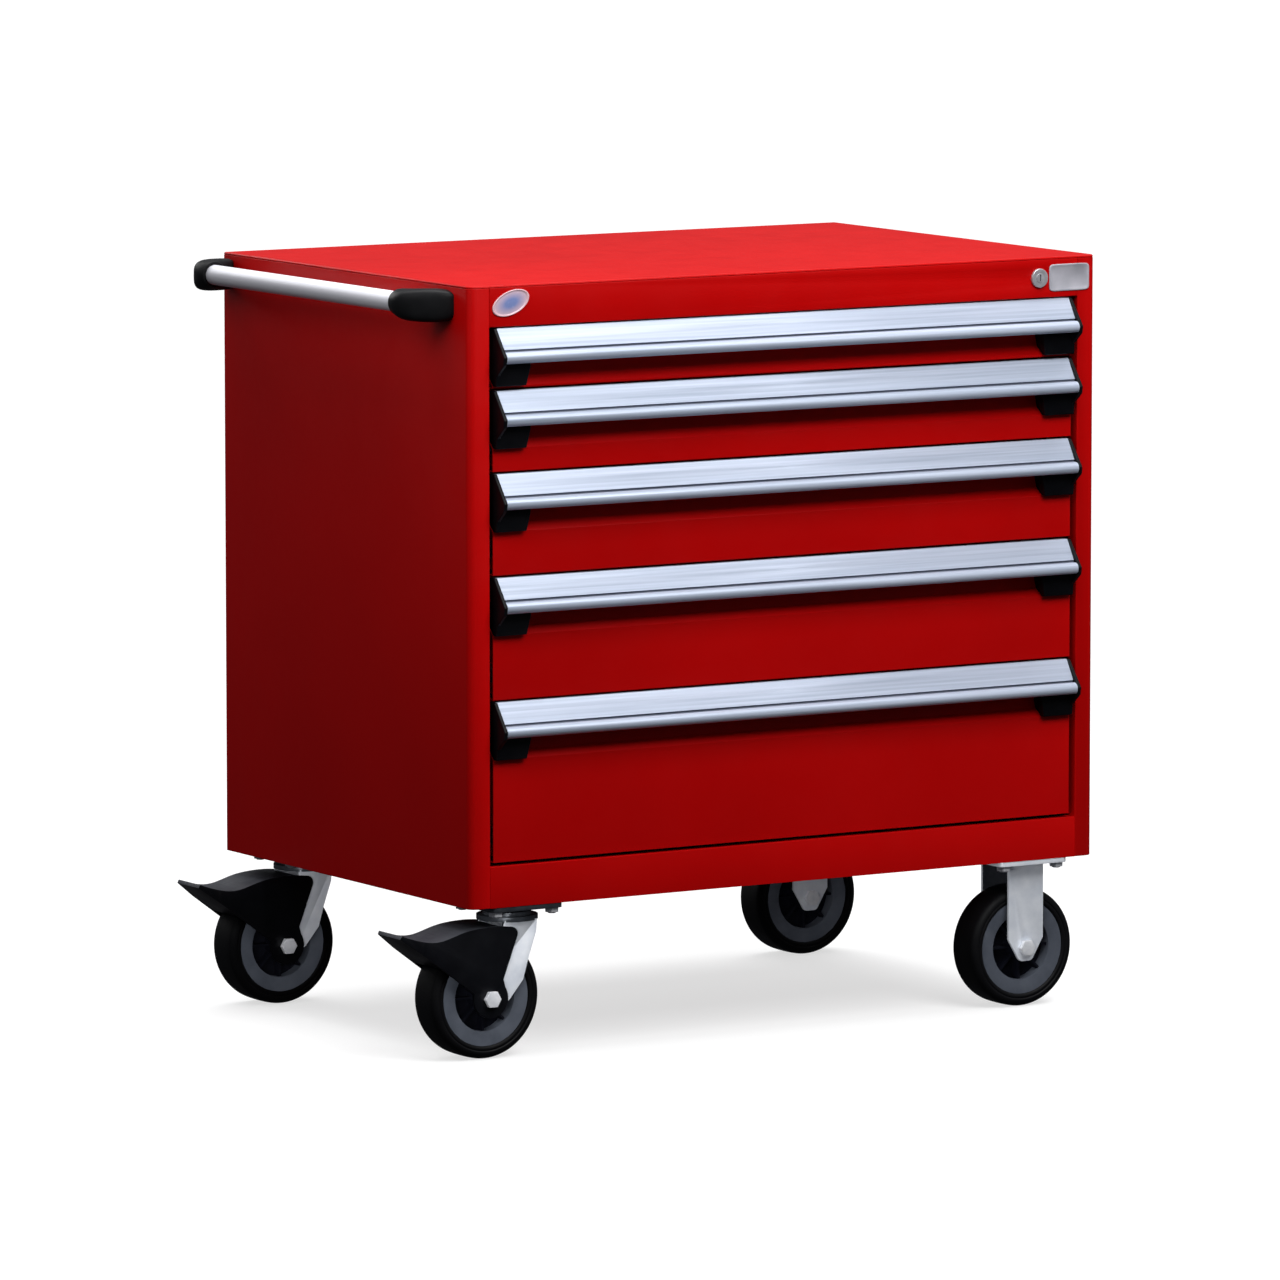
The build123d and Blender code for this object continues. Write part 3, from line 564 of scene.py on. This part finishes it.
def badge_field(low, high):
    """Pale blue in the middle, fading towards the rim's colour."""
    tree, shader = material("badge_field")
    coords = tree.nodes.new("ShaderNodeTexCoord")
    mapping = tree.nodes.new("ShaderNodeMapping")
    mapping.vector_type = "TEXTURE"
    mapping.inputs["Location"].default_value = ((low.x + high.x) / 2, high.y, (low.z + high.z) / 2)
    mapping.inputs["Rotation"].default_value = (0.0, -BADGE_TILT, 0.0)
    long_half, short_half = oval_half(low, high)
    mapping.inputs["Scale"].default_value = (long_half, 1.0, short_half)
    gradient = tree.nodes.new("ShaderNodeTexGradient")
    gradient.gradient_type = "SPHERICAL"
    tree.links.new(coords.outputs["Object"], mapping.inputs["Vector"])
    tree.links.new(mapping.outputs["Vector"], gradient.inputs["Vector"])
    colour = colour_ramp(tree, gradient.outputs["Fac"], low=(0.70, 0.50, 0.56), high=(0.20, 0.26, 0.52),
                         start=0.10, end=0.70)
    tree.links.new(colour, shader.inputs["Base Color"])
    roughness = value_range(tree, noise(tree, scale=160.0), low=0.18, high=0.30)
    tree.links.new(roughness, shader.inputs["Roughness"])
    add_bump(tree, shader, noise(tree, scale=500.0), distance=0.00002, strength=0.6)


def make_label():
    """Blank plate with a raised border."""
    low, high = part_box("label_plate")
    middle, half = (low + high) / 2, (high - low) / 2
    rings = []
    for inset, height in LABEL_RINGS:
        outline = superellipse((middle.x, middle.z), (half.x - inset, half.z - inset), LABEL_POWER,
                               LABEL_STEPS)
        rings.append([(x, high.y - height, z) for x, z in outline])
    points, faces = capped_loft(rings)
    piece_from("blank_plate", points, faces, "label_plastic", "housing", ["label_plate"])


# ---------------------------------------------------------------- camera, light and floor
def make_world():
    """Studio surround: pale overhead, dim at the horizon and below."""
    world = bpy.data.worlds.new("studio")
    world.use_nodes = True
    tree = world.node_tree
    background = tree.nodes["Background"]
    coords = tree.nodes.new("ShaderNodeTexCoord")
    split = tree.nodes.new("ShaderNodeSeparateXYZ")
    tree.links.new(coords.outputs["Generated"], split.inputs[0])
    height = value_range(tree, split.outputs["Z"], low=0.0, high=1.0, start=-1.0, end=1.0)
    sky = colour_ramp(tree, height, SKY_BELOW, SKY_ABOVE, BELOW_HEIGHT, ABOVE_HEIGHT)
    horizon = sky.node.color_ramp.elements.new(HORIZON_HEIGHT)
    horizon.color = (*SKY_HORIZON, 1)
    tree.links.new(sky, background.inputs["Color"])
    background.inputs["Strength"].default_value = SKY_STRENGTH
    scene.world = world


def make_floor():
    """Plain pale floor, which the chest neither mirrors nor takes light from."""
    mesh = bpy.data.meshes.new("floor")
    corners = [(-1, -1), (1, -1), (1, 1), (-1, 1)]
    mesh.from_pydata([(x * FLOOR_HALF, y * FLOOR_HALF, 0) for x, y in corners], [], [(0, 1, 2, 3)])
    floor = bpy.data.objects.new("floor", mesh)
    scene.collection.objects.link(floor)
    _, shader = material("floor_white")
    shader.inputs["Base Color"].default_value = (*FLOOR_COLOUR, 1)
    shader.inputs["Roughness"].default_value = 0.9
    shader.inputs["Specular IOR Level"].default_value = 0.1
    shader.inputs["Emission Color"].default_value = (1.0, 1.0, 1.0, 1)
    shader.inputs["Emission Strength"].default_value = FLOOR_GLOW
    mesh.materials.append(MATERIALS["floor_white"])
    floor.visible_diffuse = False
    floor.visible_glossy = False


def area_light(name, place, target, size, watts):
    """Soft rectangular light at a place, pointed at a target."""
    data = bpy.data.lights.new(name, "AREA")
    data.shape = "RECTANGLE"
    data.size, data.size_y = size
    data.energy = watts
    light = bpy.data.objects.new(name, data)
    light.location = place
    aim = Vector(target) - Vector(place)
    light.rotation_euler = aim.to_track_quat("-Z", "Y").to_euler()
    scene.collection.objects.link(light)
    return light


def make_lights():
    """Broad light from above, a key over the front, a fill on the left and one from behind."""
    sun = bpy.data.lights.new("overhead", "SUN")
    sun.energy = SUN_STRENGTH
    sun.angle = SUN_SPREAD
    light = bpy.data.objects.new("overhead", sun)
    light.rotation_euler = SUN_TURN
    scene.collection.objects.link(light)
    area_light("key", place=(0.1, -2.2, 2.7), target=(0.0, -0.3, 0.60), size=(1.8, 1.8), watts=78)
    area_light("fill", place=(-2.3, -0.9, 2.4), target=(-0.45, 0.0, 0.6), size=(1.4, 1.4), watts=15)
    area_light("rear", place=(-1.0, 4.4, 2.6), target=(0.0, 0.0, 0.6), size=(3.0, 2.0), watts=45)


def light_casters():
    """Low light for the caster metalwork and wheel cores, which sit in the housing's shadow."""
    lit = bpy.data.collections.new("caster_metalwork")
    names = ["rigid_caster_brackets", "rigid_axle_bolts"]
    for end in ENDS:
        names += [f"{end}_swivel_fork", f"{end}_swivel_axle_bolt"]
        names += [f"{end}_{side}_wheel_core" for side in SIDES]
    for name in names:
        lit.objects.link(nodes[name])
    low = area_light("low", place=(-2.2, -2.3, 0.5), target=(0.0, -0.1, 0.1), size=(1.6, 0.6), watts=42)
    low.light_linking.receiver_collection = lit


def make_camera():
    """Long lens from the front left, a little above the top."""
    data = bpy.data.cameras.new("camera")
    data.sensor_width = CAMERA_SENSOR
    data.lens = CAMERA_LENS
    data.clip_end = CAMERA_REACH
    camera = bpy.data.objects.new("camera", data)
    camera.location = CAMERA_PLACE
    camera.rotation_euler = (math.radians(90 - CAMERA_DOWN), 0.0, math.radians(-CAMERA_RIGHT))
    scene.collection.objects.link(camera)
    scene.camera = camera


# ---------------------------------------------------------------- the scene
finish_nodes()
finish_casters()
finish_handles()
make_tyres()
finish_wheel_cores()
make_brackets()
make_badge()
make_label()

make_world()
make_floor()
make_lights()
light_casters()
make_camera()
